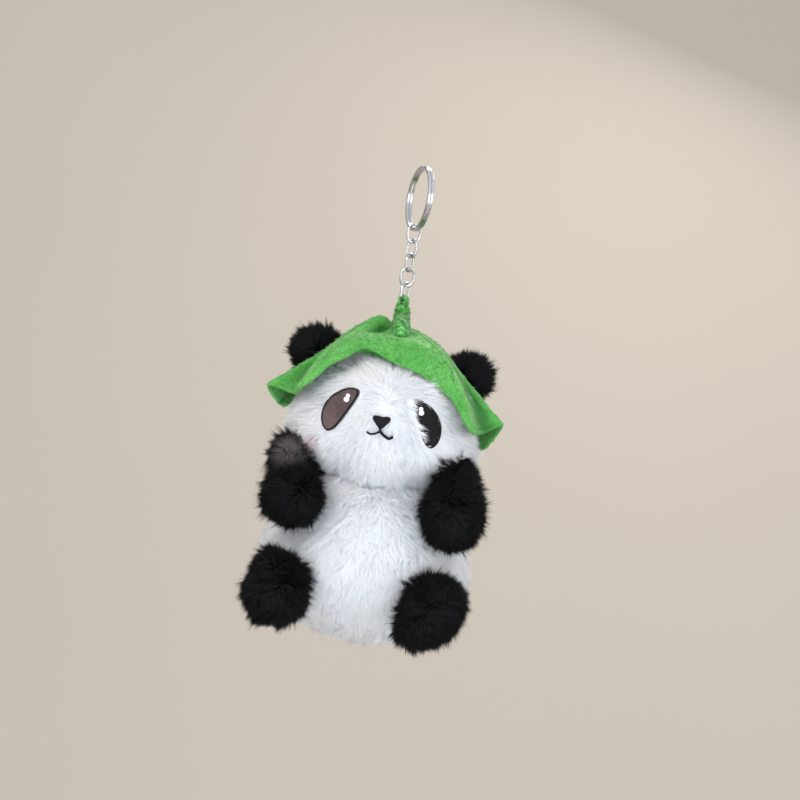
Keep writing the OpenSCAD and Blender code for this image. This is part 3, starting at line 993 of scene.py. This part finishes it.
# At the front notch the lining's edge is moved back and down towards the head, so that its darker plush shows
# under the brim as painted shade.
notch = np.exp(-((from_front * np.where(turns > 12, 1, 4) - 0.9) / 0.9) ** 2)
droop = np.linspace(0, 1, net.shape[0])[:, None] ** 4 * notch
lining_net = net + droop[..., None] * np.array([0.0, 7.0, -3.0])
lining = clothe(leaf_layer("leaf_hat_lining", lining_net, -0.02, -LEAF_THICKNESS), SHADED_LINING)
for sheet, node in ((hat, "leaf_upper"), (lining, "leaf_lower")):
    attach(sheet, "head")
    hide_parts(node)
for sheet in (hat, lining):
    mark_folds(sheet, leaf_tree)
hem_turns = np.abs(turns - 21.0)
hem_round = 0.85 + 0.75 * np.exp(-(hem_turns / 1.6) ** 2) + 0.25 * np.exp(-((turns - 3.5) / 2.0) ** 2)
hem = clothe(tube("leaf_hat_hem", net[-1], hem_round, sides=10, closed=True), GREEN)
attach(hem, "head")


def bald_face(roots):
    """Where no fur grows: on the eye patches and the nose, and under the hat's crown."""
    front = roots[:, 1] < 0
    eyes = (eye_nearness(roots, 1) < -0.2) | (eye_nearness(roots, -1) < 0.1)
    hatted = (roots[:, 2] > -66) & (np.hypot(roots[:, 0], roots[:, 1]) < 22)
    nose = np.hypot(roots[:, 0] + 1.0, (roots[:, 2] + 95.4) * 1.3) < 3.4
    return (front & (eyes | nose)) | hatted


def short_face(roots):
    """Fur is shorter round the nose, beside the right eye and where the hat lies on it."""
    near = np.hypot(roots[:, 0] + 0.6, (roots[:, 2] + 97.0)) / 11
    short = np.where(roots[:, 1] < 0, np.clip(0.42 + 0.58 * near**1.2, 0.42, 1), 1)
    beside = np.minimum(eye_nearness(roots, 1) + 1, eye_nearness(roots, -1))
    eye = np.where(roots[:, 1] < 0, np.clip(0.45 + 0.14 * beside, 0.45, 1), 1)
    hat_rest = np.clip((-74 - roots[:, 2]) / 8, 0.35, 1)
    hat_rest = np.where(roots[:, 1] < -12, 1, hat_rest)
    return short * eye * hat_rest


HEAD_HAIRS, TORSO_HAIRS, LIMB_HAIRS, EAR_HAIRS = 130000, 140000, 40000, 18000

neighbours = [(tree, 0.3) for tree in limb_trees.values()]
grow_fur("head_fur", head, WHITE, "head", HEAD_HAIRS, 5.2, 36, flow_on_head, 11, pieces=3,
         avoid=[(torso_tree, 0.2)], bald=bald_face, trim=short_face, under=leaf_tree,
         lock=8, pull=0.5, half_width=0.12)
grow_fur("torso_fur", torso, WHITE, "torso", TORSO_HAIRS, 5.4, 30, flow_on_torso, 31, pieces=3,
         avoid=[(head_tree, 0.2), *neighbours], lock=9, pull=0.5, half_width=0.125)
for label, seed in (("arm_left", 51), ("arm_right", 61), ("leg_left", 71), ("leg_right", 81)):
    grow_fur(label + "_fur", limbs[label], BLACK, label, LIMB_HAIRS, 5.8, 48, flow_on_limb, seed,
             avoid=[(torso_tree, 0.3), (head_tree, 0.3)], lock=14, stray=1.0)
for label, ear in ears.items():
    side = 1 if label == "ear_left" else -1
    grow_fur(label + "_fur", ear, BLACK, "head", EAR_HAIRS, 5.6, 54,
             flow_from((side * 30, 13, -74), 0.0), 91 + side, avoid=[(head_tree, 0.3)])

mark_folds(hem, leaf_tree)
mark_folds(fuzz("leaf_hat_nap", hat, NAP, "head", 38000, 0.9, 0.09, 101)[0], leaf_tree)
mark_folds(fuzz("leaf_hem_nap", hem, NAP, "head", 5000, 1.0, 0.09, 103)[0], leaf_tree)

stem_paint = stem_chenille("stem_chenille")
stem_path = [(0.2, -0.5, -57.5), (0.2, -0.4, -55), (0.3, -0.2, -52), (0.3, 0, -48.6), (0.1, 0, -45.9)]
stem_line = curve_through(np.array(stem_path)[:, None], np.linspace(0, 4, 22), False)[:, 0]
stem_round = np.interp(np.arange(22), [0, 6, 14, 19, 21], [4.2, 3.2, 2.9, 2.7, 2.2])
stem = clothe(tube("leaf_stem_tube", stem_line, stem_round, sides=20), stem_paint)
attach(stem, "head")
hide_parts("leaf_stem")
fuzz("stem_nap", stem, stem_paint, "head", 5000, 1.1, 0.12, 111, lift=55)
root_path = [(0.3, -1.5, -52.2), (0.5, -6.5, -53.6), (0.8, -11, -55.2), (1.1, -15.5, -57.2),
             (1.4, -19.3, -59.4)]
root_line = curve_through(np.array(root_path)[:, None], np.linspace(0, 4, 16), False)[:, 0]
root_round = np.interp(np.arange(16), [0, 4, 12, 15], [3.0, 3.6, 3.2, 1.4])
stem_root = clothe(tube("leaf_stem_root", root_line, root_round, sides=16), stem_paint)
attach(stem_root, "head")
fuzz("stem_root_nap", stem_root, stem_paint, "head", 3000, 1.0, 0.12, 113, lift=55)
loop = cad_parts["stem_loop"]
loop.data.materials.clear()
loop.data.materials.append(stem_paint)
fuzz("stem_loop_nap", loop, stem_paint, "head", 3000, 0.7, 0.1, 117, lift=55)

RING, CHAIN = steel("ring_steel", (0.62, 0.62, 0.64)), steel("chain_steel", (0.58, 0.58, 0.60))
for name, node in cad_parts.items():
    if name == "split_ring" or name.startswith("chain_link"):
        node.data.materials.clear()
        node.data.materials.append(RING if name == "split_ring" else CHAIN)

# The toy's right eye gets a paler, browner satin than its left: a painted sheen where light catches its
# stitches.
PATCH = {1: eye_satin("eye_satin_left", (0.006, 0.005, 0.006), (0.011, 0.009, 0.010)),
         -1: eye_satin("eye_satin_right_sheen", (0.070, 0.046, 0.048), (0.110, 0.076, 0.078))}
EDGE = thread("eye_edging", (0.006, 0.005, 0.006), (0.020, 0.015, 0.016))
GLINT = thread("glint_thread", (0.85, 0.85, 0.87), (0.95, 0.95, 0.96))
FACE = thread("face_thread", (0.004, 0.004, 0.006), (0.016, 0.016, 0.020))
for side, label in ((1, "left"), (-1, "right")):
    outline = partial(eye_outline, side)
    patch = clothe(face_pad("eye_patch_" + label + "_satin", outline, 0.2, 1.4), PATCH[side])
    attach(patch, "head")
    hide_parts("eye_patch_" + label)
    angle = FULL_TURN * np.arange(72) / 72
    x, z = outline(angle, 0.95)
    edging = tube("eye_edging_" + label, on_head(x, z, 1.35), 0.34, sides=8, closed=True)
    rim = clothe(edging, EDGE)
    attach(rim, "head")
    dots = []
    for k, (dx, dz, radius) in enumerate(((2.4, 3.8, 1.05), (2.8, 5.3, 0.8))):
        middle = EYE_CENTRES[side]
        dot = round_outline(side * (middle[0] - dx), middle[1] + dz, radius)
        dots.append(face_pad(f"glint_{label}_{k}", dot, 1.3, 1.9, rings=4, columns=20))
    glints = clothe(joined("eye_glints_" + label + "_thread", dots), GLINT)
    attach(glints, "head")
    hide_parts("eye_glints_" + label)
# White fur that falls over the outer side of the left eye.
draw = np.random.default_rng(131)
strands = 1500
angle = draw.uniform(math.radians(105), math.radians(265), strands)
x, z = eye_outline(1, angle, 1.2)
roots = on_head(x, z, 0.9) + draw.normal(size=(strands, 3)) * 0.25
heading = (np.array([0.75, -0.1, -0.45]) + 0.35 * sway(roots, 5.0, 132)
           + 0.15 * draw.normal(size=(strands, 3)))
up = unit(roots - HEAD_CENTRE)
heading = unit(heading - up * (heading * up).sum(1, keepdims=True))
heading = heading + up * draw.uniform(0.3, 0.6, (strands, 1))
tips = roots + unit(heading) * draw.uniform(2.6, 5.2, (strands, 1))
tips, shading, tones = gathered(roots, tips, up, 10, 0.7, 133)
overlap = clothe(pile("head_fur_over_eye", roots, tips, 0.12, shading, tones, 134), WHITE)
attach(overlap, "head")
nose = clothe(face_pad("nose_satin", nose_outline, 0.5, 3.3, edge_round=0.7), FACE)
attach(nose, "head")
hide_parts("nose")
lines = [
    draped_line("mouth_stem", [(-1.0, -97.6), (-1.0, -98.4), (-1.0, -99.2)], 2.7, 0.5),
    draped_line("mouth_right", [(-0.8, -98.9), (-2.5, -100.1), (-4.5, -100.6), (-6.0, -99.9)], 2.7, 0.45),
    draped_line("mouth_left", [(-1.2, -98.9), (0.9, -100.5), (2.8, -101.3), (4.3, -100.3)], 2.7, 0.6),
]
mouth = clothe(joined("mouth_thread", lines), FACE)
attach(mouth, "head")
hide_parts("mouth")

alone()
bpy.ops.mesh.primitive_plane_add(size=FLOOR_SIZE, location=(0, 0, FLOOR_HEIGHT))
floor = settled(bpy.context.object)
floor.name = "floor"
bpy.ops.object.mode_set(mode="EDIT")
bpy.ops.mesh.select_all(action="SELECT")
bpy.ops.mesh.subdivide(number_cuts=60)
bpy.ops.object.mode_set(mode="OBJECT")
floor_points = points_of(floor)
rise = np.clip((floor_points[:, 1] - SWEEP_START) / SWEEP_LENGTH, 0, 1)
floor_points[:, 2] += SWEEP_RISE * rise**2 * (3 - 2 * rise)
move_points(floor, floor_points)
smooth(floor)
floor.data.materials.append(studio_paper())
